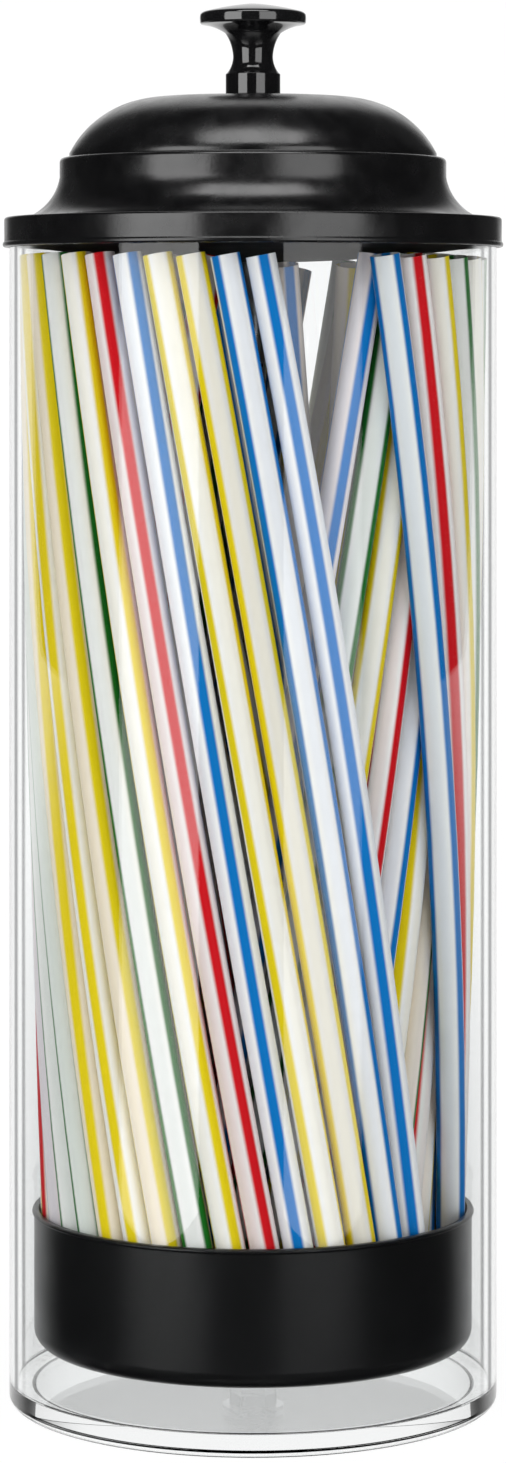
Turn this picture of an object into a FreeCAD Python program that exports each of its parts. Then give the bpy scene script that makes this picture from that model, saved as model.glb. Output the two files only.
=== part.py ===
"""Pull-up drinking-straw dispenser, in millimetres.

A clear jar stands on a thick clear base. A domed sheet-metal lid sits over its rim. A turned knob, a rod and a
cup form one spindle that turns in the lid's bush, and the straws stand in the cup, leaning round the rod in
three rings. Lifting the knob raises the lid, the cup and the straws together until they clear the jar.
+Z is up, the origin is the centre of the jar's underside, and the front is towards -Y.
"""

import FreeCAD
import Part
import math
import os
from itertools import combinations

# Jar
JAR_R = 48.0
JAR_WALL = 1.5
JAR_HEADROOM = 4.0
BASE_THICKNESS = 4.7
BASE_EDGE_ROUND = 1.6
BASE_FOOT_R = 43.0
BASE_RECESS = 0.8

# Lid shell, a pressed sheet with two tiers, a cove and a rim band
LID_SHEET = 0.7
LID_GAP = 0.3
LID_HEIGHT = 24.2
LID_BAND_HEIGHT = 5.9
CROWN_FLAT_R = 20.6
CROWN_R = 36.2
CROWN_DROP = 10.9
CROWN_BULGE = 2.3
LEDGE_DROP = 11.8
TIER_R = 38.1
TIER_ROUND = 0.8
COVE_DROP = 15.7
COVE_FOOT_R = 44.5
COVE_DEPTH = 1.3
BAND_ROUND = 0.6
BEAD_R = 0.55
BEAD_PROUD = 0.3

# Liner, a shallow dish under the lid that centres it in the jar
LINER_SHEET = 0.6
LINER_GAP = 0.3
LINER_DEPTH = 7.5
LINER_CROWN = 3.1
LINER_CORNER = 0.5

# Rod, bush, collar and knob
ROD_R = 2.5
ROD_STUD_R = 2.0
ROD_STUD_LENGTH = 6.5
ROD_TAIL = 0.3
FIT = 0.05
THREAD_FIT = 0.05
RUNNING_GAP = 0.1
ROD_CLEARANCE = 0.5
BUSH_R = 4.0
BUSH_FLANGE_R = 6.2
BUSH_FLANGE = 0.5
BUSH_DROP = 4.5
CLIP_R = 7.5
CLIP_SHEET = 0.6
COLLAR_R = 5.0
COLLAR_LENGTH = 5.0
COLLAR_SCREW_R = 1.4
INSERT_R = 2.9
INSERT_LENGTH = 6.6
KNOB_HEIGHT = 18.2
KNOB_BASE_R = 5.4
KNOB_BASE_HEIGHT = 4.2
KNOB_SHOULDER_R = 5.0
KNOB_WAIST_R = 3.94
KNOB_WAIST_HEIGHT = 7.6
KNOB_NECK_R = 5.5
KNOB_NECK_HEIGHT = 12.3
KNOB_RIM_R = 10.45
KNOB_RIM_LOW = 14.2
KNOB_RIM_HIGH = 15.9
KNOB_CAP_R = 9.8
KNOB_CAP_HEIGHT = 16.5

# Cup, with the washers and nuts that clamp it on the rod
CUP_Z = 11.5
CUP_JAR_GAP = 3.4
CUP_HEIGHT = 26.6
CUP_WALL = 1.0
CUP_FLOOR = 1.6
CUP_OUTER_ROUND = 3.5
CUP_INNER_ROUND = 0.8
CUP_LIP = 0.4
CUP_LIP_HEIGHT = 1.0
WASHER_R = 6.0
WASHER_SHEET = 0.8
NUT_ACROSS_FLATS = 8.0
NUT_HEIGHT = 4.0

# Straws
STRAW_R = 2.8
STRAW_WALL = 0.2
STRAW_LENGTH = 214.0
STRAW_SEAT_GAP = 0.1
STRAW_CUP_GAP = 0.15
STRAW_LIP_BOW = 0.6
STRAW_JAR_GAP = 0.4

# Rings of straws. An angle is seen from above, from the front towards +X, and names a straw's top. The bottom is
# one twist further round. A bunch is its first angle and its colours in order, and the straws in it are one step
# apart. The bunches leave a window at the front right and one behind it. The outer and middle rings bow out
# along the jar's wall and lean opposite ways, and the inner ring stands straight. By the cup's lip an outer
# straw has bowed out by less than STRAW_LIP_BOW.
RED, BLUE, GREEN, YELLOW = "red", "blue", "green", "yellow"
COLOURS = {"R": RED, "B": BLUE, "G": GREEN, "Y": YELLOW}
LEAN_WAVE_DEG = 2.5
LEAN_WAVE_STEP_DEG = 20.0
RING_STEP = 5.8
WALL_BOW = 0.4
CLOSE_GAP = 0.4
GAP_SAMPLES = 41

OUTER_TWIST_DEG = 53.0
OUTER_STEP_DEG = 9.05
OUTER_BUNCHES = ((34.6, "BRYGYGRBYRGBYG"), (172.9, "GYBGRYYRBGGYYYGYRBYYBB"))
MIDDLE_TWIST_DEG = -62.0
MIDDLE_STEP_DEG = 11.0
MIDDLE_BUNCHES = ((37.0, "BGYRBYGRYB"), (182.0, "YRGBYYGRBYGYRBYR"))
INNER_TWIST_DEG = 115.0
INNER_STEP_DEG = 30.0
INNER_SPLAY = 1.2
INNER_BUNCHES = ((12.0, "BYGRYBGYRGYB"),)

# Heights and radii that follow from the sizes above
JAR_BORE_R = JAR_R - JAR_WALL
CUP_R = JAR_BORE_R - CUP_JAR_GAP
CUP_FLOOR_Z = CUP_Z + CUP_FLOOR
JAR_RIM_Z = CUP_FLOOR_Z + STRAW_LENGTH + JAR_HEADROOM
LID_R = JAR_R + LID_GAP + LID_SHEET
LINER_TOP_Z = JAR_RIM_Z + LINER_SHEET
FLANGE_Z = LINER_TOP_Z + LID_SHEET
BAND_LOW_Z = FLANGE_Z - LID_BAND_HEIGHT
CROWN_Z = FLANGE_Z + LID_HEIGHT - LID_SHEET
LINER_R = JAR_BORE_R - LINER_GAP
LINER_LOW_Z = LINER_TOP_Z - LINER_DEPTH - LINER_SHEET
BUSH_LOW_Z = CROWN_Z - LID_SHEET - BUSH_DROP
COLLAR_TOP_Z = BUSH_LOW_Z - RUNNING_GAP
KNOB_Z = CROWN_Z + BUSH_FLANGE + RUNNING_GAP
ROD_LOW_Z = CUP_Z - WASHER_SHEET - NUT_HEIGHT - ROD_TAIL
STRAW_FLOOR_Z = CUP_FLOOR_Z + STRAW_SEAT_GAP
OUTER_BOTTOM_R = CUP_R - CUP_WALL - STRAW_LIP_BOW - STRAW_R - STRAW_CUP_GAP
OUTER_TOP_R = JAR_BORE_R - STRAW_R - STRAW_JAR_GAP

Z_AXIS = FreeCAD.Vector(0, 0, 1)


def point(r, z):
    """A point of a half section, at radius r and height z."""
    return FreeCAD.Vector(r, 0, z)


def arc(start, middle, end):
    """An arc through three (r, z) points."""
    return Part.Arc(point(*start), point(*middle), point(*end)).toShape()


def bulged(start, end, bulge):
    """An arc from start to end whose middle stands bulge to the left of the chord."""
    dr = end[0] - start[0]
    dz = end[1] - start[1]
    chord = math.hypot(dr, dz)
    middle_r = (start[0] + end[0]) / 2 - dz / chord * bulge
    middle_z = (start[1] + end[1]) / 2 + dr / chord * bulge
    return arc(start, (middle_r, middle_z), end)


def dome(rim, top_z):
    """A spherical cap's arc from an (r, z) rim up to the pole on the axis."""
    r, z = rim
    rise = top_z - z
    radius = (r * r + rise * rise) / (2 * rise)
    half = math.asin(r / radius) / 2
    middle = (radius * math.sin(half), top_z - radius * (1 - math.cos(half)))
    return arc(rim, middle, (0, top_z))


def turned(pieces):
    """A solid of revolution about Z. Each piece is an (r, z) corner or an arc, and lines join them up."""
    edges = []
    first = None
    last = None
    for piece in pieces:
        is_corner = isinstance(piece, tuple)
        start = point(*piece) if is_corner else piece.firstVertex().Point
        if last is not None and (start - last).Length > 1e-6:
            edges.append(Part.LineSegment(last, start).toShape())
        if first is None:
            first = start
        if is_corner:
            last = start
            continue
        edges.append(piece)
        last = piece.lastVertex().Point
    if (first - last).Length > 1e-6:
        edges.append(Part.LineSegment(last, first).toShape())
    section = Part.Face(Part.Wire(Part.__sortEdges__(edges)))
    return section.revolve(FreeCAD.Vector(0, 0, 0), Z_AXIS, 360)


def disc(r, low, high):
    """A cylinder about Z between two heights."""
    return Part.makeCylinder(r, high - low, FreeCAD.Vector(0, 0, low))


def ring(outer_r, inner_r, low, high):
    """A plain ring about Z between two heights."""
    return disc(outer_r, low, high).cut(disc(inner_r, low, high))


def save(node, *solids):
    """Write a node's solids to its own file."""
    shape = solids[0] if len(solids) == 1 else Part.makeCompound(list(solids))
    shape.exportStep("parts/%s.step" % node)
    print(node, len(shape.Solids), "solids", round(shape.Volume, 1), "mm3", shape.isValid())


def jar_tube():
    """The clear tube, cemented on the base."""
    return ring(JAR_R, JAR_BORE_R, BASE_THICKNESS, JAR_RIM_Z)


def jar_base():
    """The clear base disc, with a rounded lower edge and a shallow recess that leaves a foot ring."""
    return turned([
        (0, BASE_RECESS),
        (BASE_FOOT_R - BASE_RECESS, BASE_RECESS),
        (BASE_FOOT_R, 0),
        bulged((JAR_R - BASE_EDGE_ROUND, 0), (JAR_R, BASE_EDGE_ROUND), -BASE_EDGE_ROUND * (1 - math.sqrt(0.5))),
        (JAR_R, BASE_THICKNESS),
        (0, BASE_THICKNESS),
    ])


def lid_region(inset, low):
    """The lid's outline turned into a solid, drawn in by inset all over, down to the height low."""
    tier = TIER_R - inset
    band = LID_R - inset
    round_r = max(TIER_ROUND - inset, 0.1)
    ledge = CROWN_Z - LEDGE_DROP - inset
    flange = FLANGE_Z - inset
    cove_top = CROWN_Z - COVE_DROP
    return turned([
        (0, CROWN_Z - inset),
        bulged((CROWN_FLAT_R, CROWN_Z - inset), (CROWN_R - inset, CROWN_Z - CROWN_DROP), CROWN_BULGE),
        (CROWN_R - inset, ledge),
        bulged((tier - round_r, ledge), (tier, ledge - round_r), round_r * (1 - math.sqrt(0.5))),
        bulged((tier, cove_top), (COVE_FOOT_R - inset / 2, flange), -COVE_DEPTH),
        bulged((band - BAND_ROUND, flange), (band, flange - BAND_ROUND), BAND_ROUND * (1 - math.sqrt(0.5))),
        (band, low),
        (0, low),
    ])


def lid_shell():
    """The domed lid: one pressed sheet with a rolled bead round the foot of its band, and a hole for the bush."""
    outside = lid_region(0, BAND_LOW_Z)
    bead_centre = FreeCAD.Vector(0, 0, BAND_LOW_Z + BEAD_R)
    bead = Part.makeTorus(LID_R + BEAD_PROUD - BEAD_R, BEAD_R, bead_centre)
    cavity = lid_region(LID_SHEET, BAND_LOW_Z - 1)
    hole = disc(BUSH_R + FIT, CROWN_Z - 2 * LID_SHEET, CROWN_Z + LID_SHEET)
    return outside.fuse(bead).cut(cavity).cut(hole).removeSplitter()


def lid_liner():
    """The dish under the lid. Its flange is held between the jar's rim and the lid, and its wall guides the lid."""
    hole = ROD_R + ROD_CLEARANCE
    rim_z = LINER_LOW_Z + LINER_CROWN
    corner = LINER_R - LINER_CORNER
    chord = corner - hole
    sag = LINER_CROWN * 0.25
    inner_r = LINER_R - LINER_SHEET
    return turned([
        bulged((hole, LINER_LOW_Z), (corner, rim_z), -sag * chord / corner),
        (LINER_R, rim_z + LINER_CORNER),
        (LINER_R, JAR_RIM_Z),
        (LID_R - LID_SHEET - BAND_ROUND, JAR_RIM_Z),
        (LID_R - LID_SHEET - BAND_ROUND, LINER_TOP_Z),
        (inner_r, LINER_TOP_Z),
        (inner_r, rim_z + LINER_CORNER + LINER_SHEET / 2),
        bulged((corner - LINER_SHEET / 2, rim_z + LINER_SHEET), (hole, LINER_LOW_Z + LINER_SHEET), sag),
    ])


def lid_bush():
    """The flanged bush that the rod turns in. Its flange shows as a dark ring under the knob."""
    bore = ROD_R + FIT
    return turned([
        (bore, BUSH_LOW_Z),
        (BUSH_R, BUSH_LOW_Z),
        (BUSH_R, CROWN_Z),
        (BUSH_FLANGE_R, CROWN_Z),
        (BUSH_FLANGE_R, CROWN_Z + BUSH_FLANGE),
        (bore, CROWN_Z + BUSH_FLANGE),
    ])


def bush_clip():
    """The push-on ring that holds the bush from inside the dome."""
    top = CROWN_Z - LID_SHEET
    return ring(CLIP_R, BUSH_R + FIT, top - CLIP_SHEET, top)


def knob():
    """The turned knob: a mushroom cap with a rim, a waisted neck and a plain foot, bored for its insert."""
    waist = (KNOB_WAIST_R, KNOB_Z + KNOB_WAIST_HEIGHT)
    neck = (KNOB_NECK_R, KNOB_Z + KNOB_NECK_HEIGHT)
    shoulder_z = KNOB_Z + KNOB_BASE_HEIGHT
    shoulder = (KNOB_SHOULDER_R, shoulder_z + KNOB_BASE_R - KNOB_SHOULDER_R)
    cap = (KNOB_CAP_R, KNOB_Z + KNOB_CAP_HEIGHT)
    rim_low = KNOB_Z + KNOB_RIM_LOW
    rim_high = KNOB_Z + KNOB_RIM_HIGH
    top = KNOB_Z + KNOB_HEIGHT
    edge = (rim_high - rim_low) / 4
    body = turned([
        (0, KNOB_Z),
        (KNOB_BASE_R, KNOB_Z),
        (KNOB_BASE_R, shoulder_z),
        tangent_up(shoulder, waist),
        tangent_up(neck, waist, True),
        bulged((KNOB_RIM_R - edge, rim_low - edge / 2), (KNOB_RIM_R, rim_low + edge), -edge / 3),
        bulged((KNOB_RIM_R, rim_high), cap, -edge / 3),
        dome(cap, top),
    ])
    return body.cut(disc(INSERT_R + FIT, KNOB_Z, KNOB_Z + INSERT_LENGTH + RUNNING_GAP))


def tangent_up(end, waist, outwards=False):
    """An arc between a waist, where the profile runs straight up, and a wider point above or below it."""
    out = end[0] - waist[0]
    up = end[1] - waist[1]
    radius = (out * out + up * up) / (2 * out)
    half = math.asin(up / radius) / 2
    middle = (waist[0] + radius * (1 - math.cos(half)), waist[1] + radius * math.sin(half))
    return arc(waist, middle, end) if outwards else arc(end, middle, waist)


def knob_insert():
    """The threaded insert moulded into the knob."""
    return ring(INSERT_R, ROD_STUD_R + THREAD_FIT, KNOB_Z, KNOB_Z + INSERT_LENGTH)


def lift_rod():
    """The rod from the knob down through the lid to the cup, with a thinner threaded stud in the knob."""
    return disc(ROD_R, ROD_LOW_Z, KNOB_Z).fuse(disc(ROD_STUD_R, KNOB_Z, KNOB_Z + ROD_STUD_LENGTH))


def collar_hole(r):
    """The radial bore of the collar's screw, from the rod outwards."""
    z = COLLAR_TOP_Z - COLLAR_LENGTH / 2
    start = FreeCAD.Vector(0, -ROD_R - THREAD_FIT, z)
    return Part.makeCylinder(r, COLLAR_R - ROD_R, start, FreeCAD.Vector(0, -1, 0))


def rod_collar():
    """The collar under the bush that carries the lid when the knob is lifted."""
    body = ring(COLLAR_R, ROD_R + FIT, COLLAR_TOP_Z - COLLAR_LENGTH, COLLAR_TOP_Z)
    return body.cut(collar_hole(COLLAR_SCREW_R + THREAD_FIT))


def collar_screw():
    """The grub screw that locks the collar on the rod."""
    return collar_hole(COLLAR_SCREW_R).common(disc(COLLAR_R, COLLAR_TOP_Z - COLLAR_LENGTH, COLLAR_TOP_Z))


def cup():
    """The cup that carries the straws, with a rolled lip and a rounded foot."""
    top = CUP_Z + CUP_HEIGHT
    inner = CUP_R - CUP_WALL
    quarter = 1 - math.sqrt(0.5)
    lip = CUP_R + CUP_LIP
    return turned([
        (ROD_R + FIT, CUP_Z),
        bulged((CUP_R - CUP_OUTER_ROUND, CUP_Z), (CUP_R, CUP_Z + CUP_OUTER_ROUND), -CUP_OUTER_ROUND * quarter),
        bulged((CUP_R, top - CUP_LIP_HEIGHT), (lip, top - CUP_LIP_HEIGHT + CUP_LIP), CUP_LIP * quarter),
        bulged((lip, top - CUP_LIP), (lip - CUP_LIP, top), -CUP_LIP * quarter),
        (inner, top),
        bulged((inner, CUP_FLOOR_Z + CUP_INNER_ROUND), (inner - CUP_INNER_ROUND, CUP_FLOOR_Z),
               CUP_INNER_ROUND * quarter),
        (ROD_R + FIT, CUP_FLOOR_Z),
    ])


def cup_washers():
    """One washer above the cup's floor and one below it."""
    hole = ROD_R + FIT
    return [ring(WASHER_R, hole, low, low + WASHER_SHEET) for low in (CUP_FLOOR_Z, CUP_Z - WASHER_SHEET)]


def hexagon(across_flats, low, high):
    """A hexagonal block about Z between two heights."""
    corner = across_flats / math.sqrt(3)
    angles = [math.radians(60 * i) for i in range(7)]
    corners = [FreeCAD.Vector(corner * math.cos(a), corner * math.sin(a), low) for a in angles]
    return Part.Face(Part.makePolygon(corners)).extrude(FreeCAD.Vector(0, 0, high - low))


def cup_nuts():
    """The two nuts that clamp the cup's floor between the washers."""
    lows = (CUP_FLOOR_Z + WASHER_SHEET, CUP_Z - WASHER_SHEET - NUT_HEIGHT)
    nuts = []
    for low in lows:
        block = hexagon(NUT_ACROSS_FLATS, low, low + NUT_HEIGHT)
        nuts.append(block.cut(disc(ROD_R + THREAD_FIT, low, low + NUT_HEIGHT)))
    return nuts


def around(r, degrees, z):
    """A point at radius r, at an angle from the front towards +X."""
    angle = math.radians(degrees)
    return FreeCAD.Vector(r * math.sin(angle), -r * math.cos(angle), z)


def straw_axis(bottom_r, top_r, bottom_deg, top_deg, bow):
    """A straw's axis, from its low end, whose edge stands on the cup's floor, to its high end.

    A bow of None gives a straight axis. Otherwise the middle bows out to bow more than the ends' mean radius.
    """
    bottom = around(bottom_r, bottom_deg, 0)
    across = around(top_r, top_deg, 0) - bottom
    sag = 0
    if bow is not None:
        sag = (bottom_r + top_r) / 2 + bow - (bottom + across / 2).Length
    chord = STRAW_LENGTH - 8 * sag ** 2 / (3 * STRAW_LENGTH)
    rise = math.sqrt(chord ** 2 - across.Length ** 2)
    bottom.z = STRAW_FLOOR_Z + STRAW_R * (across.Length + 4 * sag) / STRAW_LENGTH
    top = bottom + across + FreeCAD.Vector(0, 0, rise)
    if bow is None:
        return Part.LineSegment(bottom, top).toShape()
    out = FreeCAD.Vector(bottom.x + top.x, bottom.y + top.y, 0).normalize()
    return Part.Arc(bottom, (bottom + top) / 2 + out * sag, top).toShape()


def ring_axes(bottom_r, top_r, twist, step, bunches, bow):
    """The axes and colours of one ring of straws, whose lean grows and shrinks slowly round the ring."""
    axes = []
    for first, colours in bunches:
        for i, letter in enumerate(colours):
            top = first + i * step
            lean = LEAN_WAVE_DEG * math.sin(math.radians(i * LEAN_WAVE_STEP_DEG))
            axis = straw_axis(bottom_r, top_r, top + twist + lean / 2, top - lean / 2, bow)
            axes.append((COLOURS[letter], axis))
    return axes


def outer_axes():
    """The ring of straws along the jar's wall."""
    return ring_axes(OUTER_BOTTOM_R, OUTER_TOP_R, OUTER_TWIST_DEG, OUTER_STEP_DEG, OUTER_BUNCHES, WALL_BOW)


def middle_axes():
    """The ring inside the outer one, which leans the other way."""
    bottom_r = OUTER_BOTTOM_R - RING_STEP
    top_r = OUTER_TOP_R - RING_STEP
    return ring_axes(bottom_r, top_r, MIDDLE_TWIST_DEG, MIDDLE_STEP_DEG, MIDDLE_BUNCHES, WALL_BOW)


def inner_axes():
    """The loose straight straws round the rod, which lean most."""
    bottom_r = OUTER_BOTTOM_R - 2 * RING_STEP
    top_r = bottom_r + INNER_SPLAY
    return ring_axes(bottom_r, top_r, INNER_TWIST_DEG, INNER_STEP_DEG, INNER_BUNCHES, None)


def straw(axis):
    """One hollow straw along its straight or arched axis."""
    start = axis.valueAt(axis.FirstParameter)
    along = axis.tangentAt(axis.FirstParameter)
    outside, inside = [
        Part.Face(Part.Wire(Part.Circle(start, along, r).toShape())) for r in (STRAW_R, STRAW_R - STRAW_WALL)]
    section = outside.cut(inside).Faces[0]
    if isinstance(axis.Curve, Part.Line):
        return section.extrude(along * axis.Length)
    circle = axis.Curve
    return section.revolve(circle.Center, circle.Axis, math.degrees(axis.Length / circle.Radius))


def pass_close(a, b):
    """Whether two axes, compared at equal shares of their lengths, come near touching straws."""
    return min(p.distanceToPoint(q) for p, q in zip(a, b)) < 2 * STRAW_R + CLOSE_GAP


def print_least_gap(axes):
    """Print the least gap between any two straws, and from a straw to the rod, the cup and the jar."""
    tracks = [axis.discretize(Number=GAP_SAMPLES) for axis in axes]
    close = [pair for pair in combinations(range(len(axes)), 2) if pass_close(tracks[pair[0]], tracks[pair[1]])]
    least = min((axes[i].distToShape(axes[j])[0] for i, j in close), default=2 * STRAW_R + CLOSE_GAP)
    rod = Part.LineSegment(point(0, ROD_LOW_Z), point(0, KNOB_Z)).toShape()
    to_rod = min(axis.distToShape(rod)[0] for axis in axes) - STRAW_R - ROD_R
    highest = max(axis.BoundBox.ZMax for axis in axes)
    points = [p for track in tracks for p in track]
    in_cup = max(math.hypot(p.x, p.y) for p in points if p.z < CUP_Z + CUP_HEIGHT + STRAW_R)
    in_jar = max(math.hypot(p.x, p.y) for p in points)
    print("straws", len(axes), "least gap", round(least - 2 * STRAW_R, 3), "to rod", round(to_rod, 2), "top",
          round(highest, 2))
    print("gap to cup", round(CUP_R - CUP_WALL - STRAW_R - in_cup, 3), "to jar", round(JAR_BORE_R - STRAW_R - in_jar, 3))


def save_straws(ring_name, axes):
    """Write one node for each colour of a ring."""
    for colour in (RED, BLUE, GREEN, YELLOW):
        save("straws_%s_%s" % (ring_name, colour), *[straw(axis) for name, axis in axes if name == colour])


os.makedirs("parts", exist_ok=True)
save("jar_tube", jar_tube())
save("jar_base", jar_base())
save("lid_shell", lid_shell())
save("lid_liner", lid_liner())
save("lid_bush", lid_bush())
save("bush_clip", bush_clip())
save("knob", knob())
save("knob_insert", knob_insert())
save("lift_rod", lift_rod())
save("rod_collar", rod_collar())
save("collar_screw", collar_screw())
save("cup", cup())
save("cup_washers", *cup_washers())
save("cup_nuts", *cup_nuts())
save_straws("outer", outer_axes())
save_straws("inner", middle_axes() + inner_axes())
print_least_gap([axis for _, axis in outer_axes() + middle_axes() + inner_axes()])
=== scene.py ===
"""Looks of a pull-up straw dispenser, in metres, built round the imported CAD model.

A clear jar, a domed black lid with a turned knob, a black cup and striped straws. The CAD frame says where each
piece goes. Hidden hardware keeps its CAD mesh and gets a finish. The front is towards -Y and +Z is up.
"""

import logging
import math
from dataclasses import dataclass, field
from enum import Enum
from typing import Any, Callable, ClassVar

import bmesh
import bpy
import numpy as np
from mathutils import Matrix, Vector


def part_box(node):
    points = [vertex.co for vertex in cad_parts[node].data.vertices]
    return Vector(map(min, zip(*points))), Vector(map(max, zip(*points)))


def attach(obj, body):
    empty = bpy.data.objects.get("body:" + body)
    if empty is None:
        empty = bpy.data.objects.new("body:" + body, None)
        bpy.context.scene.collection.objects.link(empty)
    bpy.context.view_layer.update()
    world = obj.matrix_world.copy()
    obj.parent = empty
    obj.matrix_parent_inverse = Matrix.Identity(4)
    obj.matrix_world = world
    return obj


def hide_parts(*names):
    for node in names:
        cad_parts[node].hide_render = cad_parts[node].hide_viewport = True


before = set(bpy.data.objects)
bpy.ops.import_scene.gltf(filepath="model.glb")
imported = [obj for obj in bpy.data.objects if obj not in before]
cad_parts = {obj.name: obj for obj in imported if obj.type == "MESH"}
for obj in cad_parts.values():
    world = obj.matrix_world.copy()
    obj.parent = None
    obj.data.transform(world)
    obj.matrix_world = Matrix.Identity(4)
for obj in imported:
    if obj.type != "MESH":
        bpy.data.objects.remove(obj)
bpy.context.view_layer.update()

LOG = logging.getLogger("straw_dispenser")
MM = 0.001
TURN = 2 * math.pi
LATHE_STEPS = 144
ARC_STEPS = 10
CORNER_STEPS = 5
MERGE_DISTANCE = 1e-6
SHARP_ANGLE = math.radians(32)
NOISE_SPAN = (0.3, 0.7)
HALF_WAY = (0.4, 0.6)
QUARTER_SAG = 1 - math.sqrt(0.5)

Colour = tuple[float, float, float, float]
Point = tuple[float, float]


class Body(Enum):
    """The CAD bodies that pieces ride on."""

    JAR = "jar"
    LID = "lid"
    SPINDLE = "spindle"


class Slot(Enum):
    """The record's material slots."""

    JAR = "jar_clear"
    LID = "lid_black"
    LINER = "liner_black"
    BUSH = "bush_black"
    KNOB = "knob_black"
    CUP = "cup_black"
    STEEL = "steel"
    BRASS = "brass"
    RED = "straw_red"
    BLUE = "straw_blue"
    GREEN = "straw_green"
    YELLOW = "straw_yellow"


def srgb(red: int, green: int, blue: int) -> Colour:
    """Turn a colour as it is seen on a screen into the linear colour that a shader takes.

    Args:
        red: The red share, from 0 to 255.
        green: The green share, from 0 to 255.
        blue: The blue share, from 0 to 255.

    Returns:
        The linear colour with full alpha.
    """
    shares = [share / 255 for share in (red, green, blue)]
    linear = [c / 12.92 if c <= 0.04045 else ((c + 0.055) / 1.055) ** 2.4 for c in shares]
    return (linear[0], linear[1], linear[2], 1.0)


def shade(colour: Colour, share: float) -> Colour:
    """Return a colour made lighter or darker by a share, with full alpha."""
    return (colour[0] * share, colour[1] * share, colour[2] * share, 1.0)


def operator(operation: str, swapped: bool = False) -> Callable[["Signal", Any], "Signal"]:
    """Return a method that feeds a signal and one other value to a Math node, in turn or swapped."""
    if swapped:
        return lambda signal, other: signal.maths(operation, other, signal)
    return lambda signal, other: signal.maths(operation, signal, other)


class Signal:
    """One output of a shader node, on which maths is written as Python expressions."""

    def __init__(self, bench: "Bench", socket: bpy.types.NodeSocket) -> None:
        """Wrap a socket that belongs to a bench's node tree."""
        self.bench = bench
        self.socket = socket

    def maths(self, operation: str, *values: Any) -> "Signal":
        """Feed the values to one Math node.

        Args:
            operation: The Math node's operation.
            values: Numbers or signals, in the order of the node's sockets.

        Returns:
            The node's value.
        """
        return self.bench.node("ShaderNodeMath", {"operation": operation}, dict(enumerate(values)))

    __add__ = operator("ADD")
    __sub__ = operator("SUBTRACT")
    __rsub__ = operator("SUBTRACT", swapped=True)
    __mul__ = operator("MULTIPLY")
    greatest = operator("MAXIMUM")

    def __abs__(self) -> "Signal":
        """Return the size of self without its sign."""
        return self.maths("ABSOLUTE", self)

    def fraction(self) -> "Signal":
        """Return what is left of self after its whole part."""
        return self.maths("FRACT", self)

    def ramp(self, low: float, high: float, start: float = 0.0, end: float = 1.0) -> "Signal":
        """Run smoothly from one value to another while self goes from low to high.

        Args:
            low: Where the ramp starts.
            high: Where the ramp ends.
            start: The value at and below low.
            end: The value at and above high.

        Returns:
            The ramped value.
        """
        settings = {"interpolation_type": "SMOOTHSTEP"}
        return self.bench.node("ShaderNodeMapRange", settings, {0: self, 1: low, 2: high, 3: start, 4: end})


class Bench:
    """A material's or the world's node tree, and the one method that adds nodes to it."""

    def __init__(self, tree: bpy.types.NodeTree) -> None:
        """Clear the tree so that it starts empty."""
        tree.nodes.clear()
        self.tree = tree

    def node(self, kind: str, settings: dict[str, Any], inputs: dict[Any, Any], output: Any = 0) -> Signal:
        """Add a node, set it up and connect it.

        Args:
            kind: The node's Blender type.
            settings: Properties to set first. "stops" holds a colour ramp's (place, colour) pairs.
            inputs: Numbers, vectors, colours or signals by the socket's name or index.
            output: The name or index of the output to return.

        Returns:
            The output as a signal.
        """
        node = self.tree.nodes.new(kind)
        for name, value in settings.items():
            if name == "stops":
                self._set_stops(node, value)
            else:
                setattr(node, name, value)
        for name, value in inputs.items():
            if isinstance(value, Signal):
                self.tree.links.new(value.socket, node.inputs[name])
            else:
                node.inputs[name].default_value = value
        return Signal(self, node.outputs[output] if len(node.outputs) else None)

    def _set_stops(self, node: bpy.types.Node, stops: list[tuple[float, Colour]]) -> None:
        """Give a colour ramp its stops."""
        ramp = node.color_ramp
        while len(ramp.elements) < len(stops):
            ramp.elements.new(0.5)
        for element, (place, colour) in zip(ramp.elements, stops):
            element.position = place
            element.color = colour

    def blend(self, factor: Any, first: Any, second: Any) -> Signal:
        """Mix two colours.

        Args:
            factor: 0 for the first colour and 1 for the second.
            first: A colour or a signal.
            second: A colour or a signal.

        Returns:
            The mixed colour.
        """
        return self.node("ShaderNodeMix", {"data_type": "RGBA"}, {0: factor, 6: first, 7: second}, 2)

    def mix(self, factor: Any, first: Signal, second: Signal) -> Signal:
        """Mix two shaders: 0 is the first and 1 the second."""
        return self.node("ShaderNodeMixShader", {}, {0: factor, 1: first, 2: second})

    def place(self) -> Signal:
        """Return the Object coordinates, which are metres in the row frame."""
        return self.node("ShaderNodeTexCoord", {}, {}, "Object")

    def axis(self, vector: Signal, name: str) -> Signal:
        """Return one of a vector's values by its axis name."""
        return self.node("ShaderNodeSeparateXYZ", {}, {0: vector}, name)

    def ray(self, name: str) -> Signal:
        """Return one of the Light Path node's outputs."""
        return self.node("ShaderNodeLightPath", {}, {}, name)

    def noise(self, size: float, detail: float = 2.0, stretch: tuple[float, float, float] = (1, 1, 1)) -> Signal:
        """Return smooth noise whose patches are about size metres across.

        Args:
            size: The width of one patch, in metres.
            detail: How many finer layers are added.
            stretch: Scale along X, Y and Z, which draws the patches out.

        Returns:
            The noise's value, about 0.5 on average.
        """
        spot = self.node("ShaderNodeVectorMath", {"operation": "MULTIPLY"}, {0: self.place(), 1: stretch})
        return self.node("ShaderNodeTexNoise", {}, {"Vector": spot, "Scale": 1 / size, "Detail": detail})

    def bump(self, height: Any, depth: float) -> Signal:
        """Return a normal that is tilted by a height map.

        Args:
            height: The height, from 0 to 1.
            depth: What a height of 1 is, in metres.

        Returns:
            The normal.
        """
        return self.node("ShaderNodeBump", {}, {"Height": height, "Distance": depth})


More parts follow.
